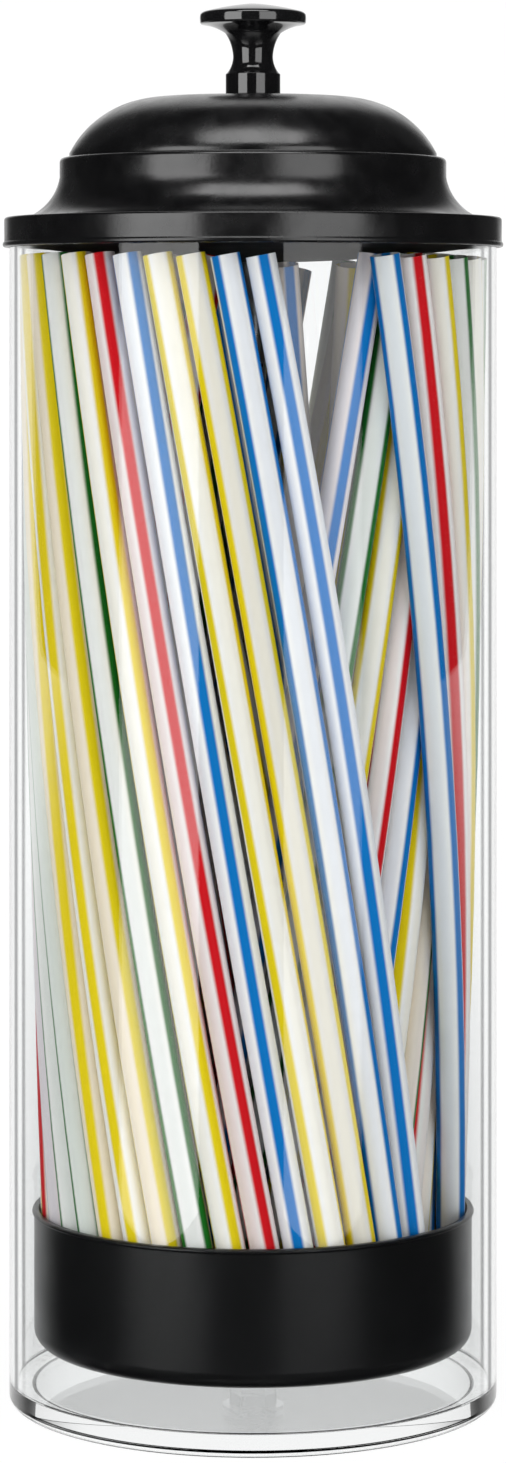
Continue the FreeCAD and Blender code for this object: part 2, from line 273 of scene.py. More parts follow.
class Finish:
    """A finish that makes one material, which pieces share."""

    made: ClassVar[dict["Finish", bpy.types.Material]] = {}
    name: str

    def material(self) -> bpy.types.Material:
        """Return the finish's material, made on first use."""
        if self not in Finish.made:
            material = bpy.data.materials.new(self.name)
            material.use_nodes = True
            bench = Bench(material.node_tree)
            bench.node("ShaderNodeOutputMaterial", {}, {"Surface": self.surface(bench)})
            Finish.made[self] = material
        return Finish.made[self]

    def surface(self, bench: Bench) -> Signal:
        """Return the shader that the material shows."""
        raise NotImplementedError


@dataclass(frozen=True)
class BlackCoat(Finish):
    """A black coating: fine grain, slow waves of the sheet under it, and patches where it is worn.

    Widths and depths are in metres. The roughness wanders by spread either way, and wear says how much lighter a
    patch is, which starts at the noise value wear_from and is whole at wear_full. shine is the specular level.
    """

    name: str
    colour: Colour
    roughness: float
    spread: float = 0.04
    grain: float = 0.5 * MM
    grain_depth: float = 0.01 * MM
    wave: float = 9 * MM
    wave_depth: float = 0.02 * MM
    shine: float = 0.5
    index: float = 1.5
    wear: float = 1.35
    wear_from: float = 0.35
    wear_full: float = 0.75

    def surface(self, bench: Bench) -> Signal:
        """Return the coating's shader."""
        grain = bench.noise(self.grain, 3.0)
        slow = bench.noise(self.wave, 1.0)
        height = grain * (self.grain_depth / self.wave_depth) + slow
        patches = bench.noise(self.wave / 2, 4.0)
        worn = patches.ramp(self.wear_from, self.wear_full)
        return bench.node("ShaderNodeBsdfPrincipled", {}, {
            "Base Color": bench.blend(worn, self.colour, shade(self.colour, self.wear)),
            "Roughness": patches.ramp(*NOISE_SPAN, self.roughness - self.spread, self.roughness + self.spread),
            "Specular IOR Level": self.shine,
            "IOR": self.index,
            "Normal": bench.bump(height, self.wave_depth),
        })


@dataclass(frozen=True)
class PolishedBlack(Finish):
    """Black plastic, turned and polished, with faint lathe rings under its shine and smudges on it.

    clean and greasy are the roughness without and with a smudge. Widths and depths are in metres.
    """

    name: str = "knob_polished_black"
    colour: Colour = srgb(13, 13, 14)
    smudged: Colour = srgb(19, 19, 20)
    clean: float = 0.05
    greasy: float = 0.12
    index: float = 2.1
    smudge: float = 4 * MM
    ring_step: float = 0.45 * MM
    ring_depth: float = 0.004 * MM

    def surface(self, bench: Bench) -> Signal:
        """Return the polished plastic's shader."""
        rings = bench.noise(self.ring_step, 1.0, (0.05, 0.05, 1.0))
        smudge = bench.noise(self.smudge, 3.0)
        return bench.node("ShaderNodeBsdfPrincipled", {}, {
            "Base Color": bench.blend(smudge, self.colour, self.smudged),
            "Roughness": smudge.ramp(0.3, 0.75, self.clean, self.greasy),
            "IOR": self.index,
            "Normal": bench.bump(rings, self.ring_depth),
        })


@dataclass(frozen=True)
class ClearAcrylic(Finish):
    """Polished clear acrylic that lets lamps through to what it holds.

    With an edge colour, a thin painted dark line shows near each side. It is painted shade that stands in for the
    dark edge that refraction draws along the wall. It rises where the facing value runs between the line's first two
    bounds, and fades where it runs between its last two. The slow waves in the acrylic are flow wide and drawn out
    upwards.
    """

    name: str
    colour: Colour = srgb(253, 254, 254)
    # edge: the colour of a painted dark line near each side of the wall, which is painted shade, not the acrylic's
    # own colour
    edge: Colour | None = None
    painted_line_from: float = 0.72
    painted_line_full: float = 0.76
    painted_line_until: float = 0.78
    painted_line_end: float = 0.82
    index: float = 1.49
    flow: float = 22 * MM
    flow_depth: float = 0.012 * MM
    flow_stretch: tuple[float, float, float] = (1.0, 1.0, 0.35)

    def surface(self, bench: Bench) -> Signal:
        """Return the acrylic's shader, which is open to shadow and diffuse rays."""
        tint: Colour | Signal = self.colour
        if self.edge is not None:
            # Painted shade: a dark line, placed by the viewing angle, is blended into the glass's base colour near
            # each side
            facing = bench.node("ShaderNodeLayerWeight", {}, {"Blend": 0.5}, "Facing")
            painted_line_fading = facing.ramp(self.painted_line_until, self.painted_line_end, 1.0, 0.0)
            line = facing.ramp(self.painted_line_from, self.painted_line_full) * painted_line_fading
            tint = bench.blend(line, self.colour, self.edge)
        waves = bench.noise(self.flow, 1.0, self.flow_stretch)
        glass = bench.node("ShaderNodeBsdfPrincipled", {}, {
            "Base Color": tint,
            "Roughness": 0.0,
            "IOR": self.index,
            "Transmission Weight": 1.0,
            "Normal": bench.bump(waves, self.flow_depth),
        })
        open_way = bench.node("ShaderNodeBsdfTransparent", {}, {"Color": self.colour})
        passing = bench.ray("Is Shadow Ray").greatest(bench.ray("Is Diffuse Ray"))
        return bench.mix(passing, glass, open_way)


@dataclass(frozen=True)
class DrawnMetal(Finish):
    """Metal with fine marks that run round or along it, and dull patches.

    marks is the scale along X, Y and Z that draws the marks out. brighter and duller say how far the roughness
    leaves its mean. Widths and depths are in metres.
    """

    name: str
    colour: Colour
    roughness: float
    marks: tuple[float, float, float] = (1.0, 1.0, 0.06)
    mark_width: float = 0.25 * MM
    mark_depth: float = 0.006 * MM
    dull_patch: float = 3 * MM
    dull_share: float = 0.82
    brighter: float = 0.06
    duller: float = 0.08

    def surface(self, bench: Bench) -> Signal:
        """Return the metal's shader."""
        marks = bench.noise(self.mark_width, 2.0, self.marks)
        dull = bench.noise(self.dull_patch, 3.0)
        return bench.node("ShaderNodeBsdfPrincipled", {}, {
            "Base Color": bench.blend(dull, self.colour, shade(self.colour, self.dull_share)),
            "Metallic": 1.0,
            "Roughness": dull.ramp(*NOISE_SPAN, self.roughness - self.brighter, self.roughness + self.duller),
            "Normal": bench.bump(marks, self.mark_depth),
        })


@dataclass(frozen=True)
class StrawFilm(Finish):
    """White straw film with coloured stripes that drift round the straw as they run along it.

    The UV map "along" holds the turn round the straw and the share of its length. The UV map "straw" holds two
    numbers that are the same all over one straw, and set its tint, its stripes' place and their drift. They are
    rounded down before use, because a tiny difference between two corners would change the noise altogether.

    Attributes:
        name: The material's name.
        stripe: The stripes' colour.
        count: How many stripes run round the straw.
        width: A stripe's width, as a share of the turn.
        edge: How far a stripe's edge fades, as a share of the step from stripe to stripe.
        far_edge: The same for the far side's stripes.
        show_through: How much of the far side's stripes shows through the film.
        drift: How far the stripes drift round the straw over its length, in turns.
        ribs: The ribs round the straw, their waves along it, and what tells straws apart.
    """

    name: str
    stripe: Colour
    count: int = 3
    width: float = 0.12
    edge: float = 0.07
    far_edge: float = 0.13
    show_through: float = 0.12
    drift: float = 0.22
    cloud: float = 2.5 * MM
    cloud_share: float = 0.08
    ribs: tuple[float, float, float] = (30, 4, 50)
    rib_depth: float = 0.004 * MM
    smooth: float = 0.36
    rough: float = 0.44
    shine: float = 0.1

    WHITE: ClassVar[Colour] = srgb(247, 246, 245)
    WARM: ClassVar[Colour] = srgb(244, 232, 210)
    COOL: ClassVar[Colour] = srgb(226, 232, 226)
    ROSE: ClassVar[Colour] = srgb(242, 230, 230)
    CLOUD: ClassVar[Colour] = srgb(214, 208, 200)
    TINTS: ClassVar[list[tuple[float, Colour]]] = [
        (0.0, WHITE), (0.45, WHITE), (0.62, COOL), (0.78, ROSE), (1.0, WARM)]

    def surface(self, bench: Bench) -> Signal:
        """Return the film's shader."""
        along = bench.node("ShaderNodeUVMap", {"uv_map": "along"}, {})
        turn, length = bench.axis(along, "X"), bench.axis(along, "Y")
        exact = bench.node("ShaderNodeUVMap", {"uv_map": "straw"}, {})
        straw = bench.node("ShaderNodeVectorMath", {"operation": "FLOOR"}, {0: exact})
        marks = bench.node("ShaderNodeTexWhiteNoise", {"noise_dimensions": "2D"}, {"Vector": straw}, "Color")
        first, second, third = (bench.node("ShaderNodeSeparateColor", {}, {0: marks}, i) for i in range(3))
        stripes = (turn + first + length * (second - 0.5) * self.drift) * self.count
        half = self.width * self.count / 2
        near = self.band(stripes, half, self.edge)
        far = self.band(stripes + 0.5, half, self.far_edge)
        tint = bench.node("ShaderNodeValToRGB", {"stops": self.TINTS}, {"Fac": third})
        cloud = bench.noise(self.cloud, 3.0).ramp(0.3, 0.8)
        film = bench.blend(cloud * self.cloud_share, tint, self.CLOUD)
        veiled = bench.blend(far * self.show_through, film, self.stripe)
        spot = {0: turn * self.ribs[0], 1: length * self.ribs[1], 2: first * self.ribs[2]}
        unrolled = bench.node("ShaderNodeCombineXYZ", {}, spot)
        ribs = bench.node("ShaderNodeTexNoise", {}, {"Vector": unrolled, "Scale": 1.0, "Detail": 1.0})
        return bench.node("ShaderNodeBsdfPrincipled", {}, {
            "Base Color": bench.blend(near, veiled, self.stripe),
            "Roughness": ribs.ramp(*NOISE_SPAN, self.smooth, self.rough),
            "Specular IOR Level": self.shine,
            "Normal": bench.bump(ribs, self.rib_depth),
        })

    def band(self, turn: Signal, half: float, soft: float) -> Signal:
        """Return 1 in the middle of each whole turn and 0 away from it.

        Args:
            turn: A value that grows by 1 from one band to the next.
            half: Half the band's width, in turns.
            soft: How far each edge fades, in turns.

        Returns:
            The bands' mask.
        """
        away = abs(turn.fraction() - 0.5)
        return away.ramp(half - soft, half + soft, 1.0, 0.0)


LID_COAT = BlackCoat(
    "lid_satin_black", srgb(5, 5, 6), 0.24, grain=0.7 * MM, grain_depth=0.012 * MM, index=1.9)
LINER_COAT = BlackCoat("liner_satin_black", srgb(13, 13, 14), 0.6, shine=0.25)
CUP_COAT = BlackCoat("cup_satin_black", srgb(4, 4, 5), 0.3, 0.012, grain=0.4 * MM, grain_depth=0.006 * MM)
BUSH_NYLON = BlackCoat("bush_black_nylon", srgb(18, 18, 18), 0.5)
KNOB_POLISH = PolishedBlack()
# The wall's edge colour paints a dark line of shade near each side; the base has none
WALL_ACRYLIC = ClearAcrylic("wall_clear_acrylic", edge=srgb(52, 53, 55))
BASE_ACRYLIC = ClearAcrylic("base_clear_acrylic")
PLATED_STEEL = DrawnMetal("zinc_plated_steel", srgb(196, 197, 199), 0.32)
TURNED_BRASS = DrawnMetal("turned_brass", srgb(205, 172, 96), 0.3, (0.06, 0.06, 1.0))


class StrawColour(Enum):
    """The straws' stripe colours, with the finish and slot of each."""

    RED = ("R", StrawFilm("straw_film_red", srgb(208, 14, 26)), Slot.RED)
    BLUE = ("B", StrawFilm("straw_film_blue", srgb(0, 116, 194)), Slot.BLUE)
    GREEN = ("G", StrawFilm("straw_film_green", srgb(22, 112, 36)), Slot.GREEN)
    YELLOW = ("Y", StrawFilm("straw_film_yellow", srgb(232, 208, 16)), Slot.YELLOW)

    def __init__(self, letter: str, finish: StrawFilm, slot: Slot) -> None:
        """Keep the letter that the bunches use, the finish and the slot."""
        self.letter = letter
        self.finish = finish
        self.slot = slot


def deselect() -> None:
    """Leave object mode with nothing selected."""
    if bpy.context.object is not None and bpy.context.object.mode != "OBJECT":
        bpy.ops.object.mode_set(mode="OBJECT")
    bpy.ops.object.select_all(action="DESELECT")


def choose(piece: bpy.types.Object) -> None:
    """Select one object alone and make it active."""
    deselect()
    piece.select_set(True)
    bpy.context.view_layer.objects.active = piece


def settle(piece: bpy.types.Object) -> bpy.types.Object:
    """Move an object's place, turn and scale into its mesh."""
    choose(piece)
    bpy.ops.object.transform_apply(location=True, rotation=True, scale=True)
    return piece


def apply_modifier(piece: bpy.types.Object, kind: str, **settings: Any) -> None:
    """Add a modifier to a piece, set it up and apply it.

    Args:
        piece: The mesh object.
        kind: The modifier's Blender type.
        settings: The modifier's properties.
    """
    choose(piece)
    modifier = piece.modifiers.new(kind.lower(), kind)
    for name, value in settings.items():
        setattr(modifier, name, value)
    bpy.ops.object.modifier_apply(modifier=modifier.name)


def arc_points(start: Point, end: Point, bulge: float, steps: int = ARC_STEPS) -> list[Point]:
    """Return the points of an arc after its start, up to and with its end.

    Args:
        start: The first point, as radius and height.
        end: The last point.
        bulge: How far the arc's middle stands to the left of the chord.
        steps: How many chords stand for the arc.

    Returns:
        The points in order.
    """
    chord = Vector(end) - Vector(start)
    left = Vector((-chord.y, chord.x)).normalized()
    half = chord.length / 2
    radius = (half * half + bulge * bulge) / (2 * abs(bulge))
    side = math.copysign(1, bulge)
    centre = (Vector(start) + Vector(end)) / 2 + left * (bulge - side * radius)
    first = math.atan2(start[1] - centre.y, start[0] - centre.x)
    sweep = -side * 2 * math.asin(min(1.0, half / radius))
    if abs(bulge) > half:
        sweep = -side * (TURN - abs(sweep))
    points = []
    for i in range(1, steps + 1):
        angle = first + sweep * i / steps
        points.append((centre.x + radius * math.cos(angle), centre.y + radius * math.sin(angle)))
    points[-1] = end
    return points


class Outline:
    """A half section, as radius and height in metres, that is turned about Z as on a lathe."""

    def __init__(self, r: float, z: float) -> None:
        """Start the outline at one point."""
        self.points: list[Point] = [(r, z)]

    def line(self, r: float, z: float) -> "Outline":
        """Draw a straight line to a point."""
        self.points.append((r, z))
        return self

    def arc(self, r: float, z: float, bulge: float, steps: int = ARC_STEPS) -> "Outline":
        """Draw an arc to a point, whose middle stands bulge to the left of the chord."""
        self.points.extend(arc_points(self.points[-1], (r, z), bulge, steps))
        return self

    def corner(self, r: float, z: float, next_r: float, next_z: float, radius: float) -> "Outline":
        """Draw a line towards a corner and round it off, ready to go on to the next point.

        Args:
            r: The sharp corner's radius.
            z: The sharp corner's height.
            next_r: The radius of the point that the outline heads for after the corner.
            next_z: The height of that point.
            radius: The rounding's own radius.

        Returns:
            The outline.
        """
        here = Vector((r, z))
        back = (Vector(self.points[-1]) - here).normalized()
        on = (Vector((next_r, next_z)) - here).normalized()
        half = back.angle(on) / 2
        reach = radius / math.tan(half)
        start = here + back * reach
        end = here + on * reach
        turn_left = back.x * on.y - back.y * on.x
        sag = radius * (1 - math.sin(half))
        self.line(start.x, start.y)
        return self.arc(end.x, end.y, math.copysign(sag, turn_left), CORNER_STEPS)

    def turned(self, name: str, closed: bool = True) -> bpy.types.Object:
        """Turn the outline about Z into a mesh.

        Args:
            name: The piece's name.
            closed: Whether the outline runs back to its start. One that starts and ends on the axis doesn't.

        Returns:
            The piece, at the origin.
        """
        points = self.points + [self.points[0]] if closed else self.points
        deselect()
        bpy.ops.mesh.primitive_plane_add(size=MM, location=(points[0][0], 0, points[0][1]))
        piece = bpy.context.object
        piece.name = name
        piece.data.name = name
        bpy.ops.object.mode_set(mode="EDIT")
        bpy.ops.mesh.select_all(action="SELECT")
        bpy.ops.mesh.merge(type="CENTER")
        for here, there in zip(points, points[1:]):
            step = (there[0] - here[0], 0, there[1] - here[1])
            bpy.ops.mesh.extrude_vertices_move(TRANSFORM_OT_translate={"value": step})
        bpy.ops.mesh.select_all(action="SELECT")
        bpy.ops.mesh.spin(steps=LATHE_STEPS, angle=TURN, center=(0, 0, 0), axis=(0, 0, 1))
        bpy.ops.mesh.select_all(action="SELECT")
        bpy.ops.mesh.remove_doubles(threshold=MERGE_DISTANCE)
        bpy.ops.mesh.normals_make_consistent(inside=False)
        bpy.ops.object.mode_set(mode="OBJECT")
        return settle(piece)


def soften(piece: bpy.types.Object, width: float, segments: int = 2) -> bpy.types.Object:
    """Round a piece's sharp edges, and shade it smooth in a way that leaves its flat faces flat."""
    apply_modifier(piece, "BEVEL", width=width, segments=segments, limit_method="ANGLE", angle_limit=SHARP_ANGLE)
    choose(piece)
    bpy.ops.object.shade_smooth_by_angle(angle=SHARP_ANGLE)
    apply_modifier(piece, "WEIGHTED_NORMAL", mode="FACE_AREA", weight=50, keep_sharp=True)
    return piece


def dress(piece: bpy.types.Object, finish: Finish, body: Body, slot: Slot, *nodes: str) -> bpy.types.Object:
    """Give a piece its finish, and let it stand for its CAD nodes on their body.

    Args:
        piece: The mesh object.
        finish: The finish that it gets.
        body: The body that it rides on.
        slot: The record's material slot of its finish. It is not used.
        nodes: The CAD nodes that it stands for.

    Returns:
        The piece.
    """
    piece.data.materials.clear()
    piece.data.materials.append(finish.material())
    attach(piece, body.value)
    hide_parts(*nodes)
    LOG.info("%s: %d faces", piece.name, len(piece.data.polygons))
    return piece


def refinish(node: str, finish: Finish) -> None:
    """Give a CAD node that stays in view a finish."""
    for material_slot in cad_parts[node].material_slots:
        material_slot.material = finish.material()
    LOG.info("%s keeps its CAD mesh", node)


def top_of(node: str) -> float:
    """Return the height of a node's highest point."""
    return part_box(node)[1].z


def foot_of(node: str) -> float:
    """Return the height of a node's lowest point."""
    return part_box(node)[0].z


def radius_of(node: str) -> float:
    """Return the outer radius of a turned node."""
    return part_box(node)[1].x


@dataclass
class Jar:
    """The clear tube and the thick clear base that it is cemented on."""

    wall: float = 1.5 * MM
    rim_round: float = 0.3 * MM
    edge_round: float = 1.6 * MM
    foot_r: float = 43.0 * MM
    recess: float = 0.8 * MM
    recess_round: float = 1.2 * MM
    joint_gap: float = 0.01 * MM
    wall_soft: float = 0.05 * MM
    base_soft: float = 0.1 * MM
    radius: float = field(default_factory=lambda: radius_of("jar_tube"))
    base_top: float = field(default_factory=lambda: top_of("jar_base"))
    rim: float = field(default_factory=lambda: top_of("jar_tube"))

    def build(self) -> None:
        """Build both pieces."""
        self.tube()
        self.base()

    def tube(self) -> None:
        """Turn the tube, with its rim's edges rounded."""
        bore = self.radius - self.wall
        low = self.base_top + self.joint_gap
        outline = Outline(bore, low).line(self.radius, low)
        outline.corner(self.radius, self.rim, bore, self.rim, self.rim_round)
        outline.corner(bore, self.rim, bore, low, self.rim_round)
        piece = soften(outline.turned("jar_wall"), self.wall_soft, 1)
        dress(piece, WALL_ACRYLIC, Body.JAR, Slot.JAR, "jar_tube")

    def base(self) -> None:
        """Turn the base, with its rounded lower edge, foot ring and shallow recess."""
        outline = Outline(0, self.recess)
        outline.corner(self.foot_r, self.recess, self.foot_r + self.recess, 0, self.recess_round)
        outline.line(self.foot_r + self.recess / 2, 0).line(self.radius - self.edge_round, 0)
        outline.arc(self.radius, self.edge_round, -self.edge_round * QUARTER_SAG)
        outline.line(self.radius, self.base_top).line(0, self.base_top)
        piece = soften(outline.turned("jar_base_disc", closed=False), self.base_soft)
        dress(piece, BASE_ACRYLIC, Body.JAR, Slot.JAR, "jar_base")


@dataclass
class Lid:
    """The domed lid with its inner dish, bush and push-on clip."""

    sheet: float = 0.7 * MM
    flat_r: float = 20.6 * MM
    crown_r: float = 36.2 * MM
    crown_drop: float = 10.9 * MM
    crown_bulge: float = 2.3 * MM
    ledge_drop: float = 11.8 * MM
    tier_r: float = 38.1 * MM
    tier_round: float = 0.9 * MM
    cove_drop: float = 15.7 * MM
    cove_r: float = 44.5 * MM
    cove_depth: float = 1.3 * MM
    flange_drop: float = 23.5 * MM
    band_round: float = 0.6 * MM
    bead_r: float = 0.55 * MM
    bead_proud: float = 0.3 * MM
    ledge_round: float = 0.25 * MM
    flat_edge: float = 0.12 * MM
    liner_sheet: float = 0.6 * MM
    liner_crown: float = 3.1 * MM
    liner_corner: float = 0.8 * MM
    liner_gap: float = 1.8 * MM
    liner_hole: float = 3.0 * MM
    liner_sag: float = 0.22
    bush_bore: float = 2.55 * MM
    bush_r: float = 4.0 * MM
    bush_flange: float = 0.5 * MM
    bush_chamfer: float = 0.2 * MM
    shell_soft: float = 0.1 * MM
    liner_soft: float = 0.08 * MM
    bush_soft: float = 0.06 * MM
    hole_r: float = 4.05 * MM
    lid_r: float = field(default_factory=lambda: radius_of("lid_shell") - Lid.bead_proud)
    band_foot: float = field(default_factory=lambda: foot_of("lid_shell"))
    crown: float = field(default_factory=lambda: top_of("lid_shell"))

    def build(self) -> None:
        """Build the lid's pieces and dress its clip."""
        self.shell()
        self.liner()
        self.bush()
        refinish("bush_clip", PLATED_STEEL)

    def shell(self) -> None:
        """Turn the pressed shell, from the bush's hole out to the rolled bead and back inside the dome."""
        flange = self.crown - self.flange_drop
        bead_z = self.band_foot + self.bead_r
        proud = self.bead_proud
        outline = Outline(self.hole_r, self.crown - self.sheet).line(self.hole_r, self.crown)
        self._tiers(outline, 0.0, flange)
        outline.line(self.lid_r, bead_z + self.bead_r).line(self.lid_r + proud / 2, bead_z + self.bead_r * 0.8)
        outline.arc(self.lid_r + proud / 2, self.band_foot + self.bead_r * 0.2, proud * 0.45)
        outline.line(self.lid_r - proud / 2, self.band_foot)
        outline.arc(self.lid_r - self.sheet, bead_z, self.bead_r * 0.2, 4)
        inner = Outline(self.hole_r, self.crown - self.sheet)
        self._tiers(inner, self.sheet, flange)
        outline.points.extend(reversed(inner.points[1:]))
        piece = soften(outline.turned("lid_dome"), self.shell_soft)
        dress(piece, LID_COAT, Body.LID, Slot.LID, "lid_shell")

    def _tiers(self, outline: Outline, inset: float, flange: float) -> None:
        """Draw the crown, the ledge, the lower tier, the cove and the band, drawn in by inset.

        Args:
            outline: The outline, which stands at the bush's hole.
            inset: The distance inside the lid's outer face.
            flange: The height of the lid's flange.
        """
        crown = self.crown - inset
        edge = self.crown_r - inset
        tier = self.tier_r - inset
        ledge = self.crown - self.ledge_drop - inset
        band = self.lid_r - inset
        tier_round = max(self.tier_round - inset, 0.2 * MM)
        outline.line(self.flat_r * 0.6, crown)
        outline.arc(self.flat_r * 1.02, crown - self.flat_edge, self.flat_edge / 6, 4)
        outline.arc(edge, self.crown - self.crown_drop, self.crown_bulge, 16)
        outline.corner(edge, ledge, tier, ledge, self.ledge_round)
        outline.corner(tier, ledge, tier, self.crown - self.cove_drop, tier_round)
        outline.line(tier, self.crown - self.cove_drop)
        outline.arc(self.cove_r - inset / 2, flange - inset, -self.cove_depth, 12)
        outline.corner(band, flange - inset, band, self.band_foot, max(self.band_round - inset, 0.15 * MM))

    def liner(self) -> None:
        """Turn the shallow dish under the lid."""
        low = foot_of("lid_liner")
        top = top_of("lid_liner")
        rim = top - self.liner_sheet
        outer = radius_of("jar_tube") - self.liner_gap
        flange_r = radius_of("lid_liner")
        hole = self.liner_hole
        corner_z = low + self.liner_crown
        sag = self.liner_crown * self.liner_sag
        inner = outer - self.liner_sheet
        outline = Outline(hole, low)
        outline.arc(outer - self.liner_corner, corner_z, -sag, 14)
        outline.arc(outer, corner_z + self.liner_corner, -0.25 * self.liner_corner, 5)
        outline.line(outer, rim).line(flange_r, rim).line(flange_r, top)
        outline.corner(inner, top, inner, corner_z, 0.4 * MM)
        outline.line(inner, corner_z + self.liner_corner)
        outline.arc(inner - self.liner_corner, corner_z + self.liner_sheet, 0.2 * self.liner_corner, 5)
        outline.arc(hole, low + self.liner_sheet, sag, 14)
        piece = soften(outline.turned("lid_inner_dish"), self.liner_soft)
        dress(piece, LINER_COAT, Body.LID, Slot.LINER, "lid_liner")

    def bush(self) -> None:
        """Turn the bush, whose flange shows as a dark ring under the knob."""
        low = foot_of("lid_bush")
        top = top_of("lid_bush")
        flange_r = radius_of("lid_bush")
        outline = Outline(self.bush_bore, low).line(self.bush_r, low)
        outline.line(self.bush_r, top - self.bush_flange).line(flange_r, top - self.bush_flange)
        outline.line(flange_r, top - self.bush_chamfer).line(flange_r - self.bush_chamfer, top)
        outline.line(self.bush_bore, top)
        piece = soften(outline.turned("lid_bush_ring"), self.bush_soft)
        dress(piece, BUSH_NYLON, Body.LID, Slot.BUSH, "lid_bush")


@dataclass
class Knob:
    """The turned knob, with the insert, rod, collar and clamping hardware of its spindle."""

    base_r: float = 5.4 * MM
    base_height: float = 4.2 * MM
    foot_round: float = 0.3 * MM
    step_round: float = 0.2 * MM
    shoulder_r: float = 5.0 * MM
    waist_r: float = 3.94 * MM
    waist_height: float = 7.6 * MM
    neck_r: float = 5.5 * MM
    neck_height: float = 12.3 * MM
    rim_low: float = 14.2 * MM
    rim_high: float = 15.9 * MM
    cap_r: float = 9.8 * MM
    cap_height: float = 16.5 * MM
    cap_bulge: float = 0.22 * MM
    shoulder_sweep: float = 0.25 * MM
    neck_sweep: float = 0.36 * MM
    flare_sweep: float = 0.3 * MM
    rim_round: float = 0.35 * MM
    rim_crown: float = 0.05 * MM
    soft: float = 0.1 * MM
    bore: float = 2.95 * MM
    bore_depth: float = 6.7 * MM
    foot: float = field(default_factory=lambda: foot_of("knob"))
    top: float = field(default_factory=lambda: top_of("knob"))
    rim_r: float = field(default_factory=lambda: radius_of("knob"))

    def build(self) -> None:
        """Turn the knob and dress the hardware behind it."""
        self.grip()
        for node in ("lift_rod", "rod_collar", "collar_screw", "cup_washers", "cup_nuts"):
            refinish(node, PLATED_STEEL)
        refinish("knob_insert", TURNED_BRASS)

    def grip(self) -> None:
        """Turn the knob: a plain foot, a waist, a flared neck and a mushroom cap."""
        foot = self.foot
        step = foot + self.base_height
        outline = Outline(0, foot + self.bore_depth).line(self.bore, foot + self.bore_depth).line(self.bore, foot)
        outline.corner(self.base_r, foot, self.base_r, step, self.foot_round)
        outline.corner(self.base_r, step, self.shoulder_r, step + self.foot_round, self.step_round)
        outline.line(self.shoulder_r, step + self.base_r - self.shoulder_r)
        outline.arc(self.waist_r, foot + self.waist_height, self.shoulder_sweep, 8)
        outline.arc(self.neck_r, foot + self.neck_height, self.neck_sweep, 10)
        rim_low = foot + self.rim_low
        rim_high = foot + self.rim_high
        outline.arc(self.rim_r - self.rim_round, rim_low - self.rim_round / 2, self.flare_sweep, 8)
        outline.arc(self.rim_r, rim_low + self.rim_round, -self.rim_round / 3, 5)
        outline.arc(self.rim_r, rim_high, -self.rim_crown, 6)
        outline.arc(self.cap_r, foot + self.cap_height, -self.rim_round / 4, 6)
        outline.arc(0, self.top, -self.cap_bulge, 12)
        piece = soften(outline.turned("knob_turned", closed=False), self.soft, 3)
        dress(piece, KNOB_POLISH, Body.SPINDLE, Slot.KNOB, "knob")


@dataclass
class Cup:
    """The black cup that hangs near the jar's floor and carries the straws."""

    wall: float = 1.0 * MM
    floor: float = 1.6 * MM
    foot_round: float = 3.5 * MM
    inner_round: float = 0.8 * MM
    lip: float = 0.4 * MM
    lip_height: float = 1.0 * MM
    mouth_round: float = 0.25 * MM
    soft: float = 0.08 * MM
    hole: float = 2.55 * MM
    low: float = field(default_factory=lambda: foot_of("cup"))
    top: float = field(default_factory=lambda: top_of("cup"))
    lip_r: float = field(default_factory=lambda: radius_of("cup"))

    def build(self) -> None:
        """Turn the cup with its rounded foot and its lip."""
        radius = self.lip_r - self.lip
        inner = radius - self.wall
        floor = self.low + self.floor
        outline = Outline(self.hole, self.low).line(radius - self.foot_round, self.low)
        outline.arc(radius, self.low + self.foot_round, -self.foot_round * QUARTER_SAG)
        outline.line(radius, self.top - self.lip_height)
        outline.arc(self.lip_r, self.top - self.lip_height + self.lip, self.lip * QUARTER_SAG, 5)
        outline.arc(self.lip_r - self.lip, self.top, -self.lip * QUARTER_SAG, 5)
        outline.corner(inner, self.top, inner, floor, self.mouth_round)
        outline.line(inner, floor + self.inner_round)
        outline.arc(inner - self.inner_round, floor, self.inner_round * QUARTER_SAG, 5)
        outline.line(self.hole, floor)
        piece = soften(outline.turned("straw_cup"), self.soft)
        dress(piece, CUP_COAT, Body.SPINDLE, Slot.CUP, "cup")


@dataclass(frozen=True)
class StrawRing:
    """One ring of leaning straws. An angle is in degrees from the front towards +X, seen from above.

    Attributes:
        node: The middle of the CAD nodes' names.
        bottom_r: The radius of the straws' low ends.
        top_r: The radius of their high ends.
        twist: How much further round the low ends stand than the high ends.
        step: The angle from one straw to the next.
        bunches: The first angle and the colour letters of each bunch.
        bow: How far a straw's middle stands outside the mean radius of its ends, or None for straight straws.
    """

    node: str
    bottom_r: float
    top_r: float
    twist: float
    step: float
    bunches: tuple[tuple[float, str], ...]
    bow: float | None


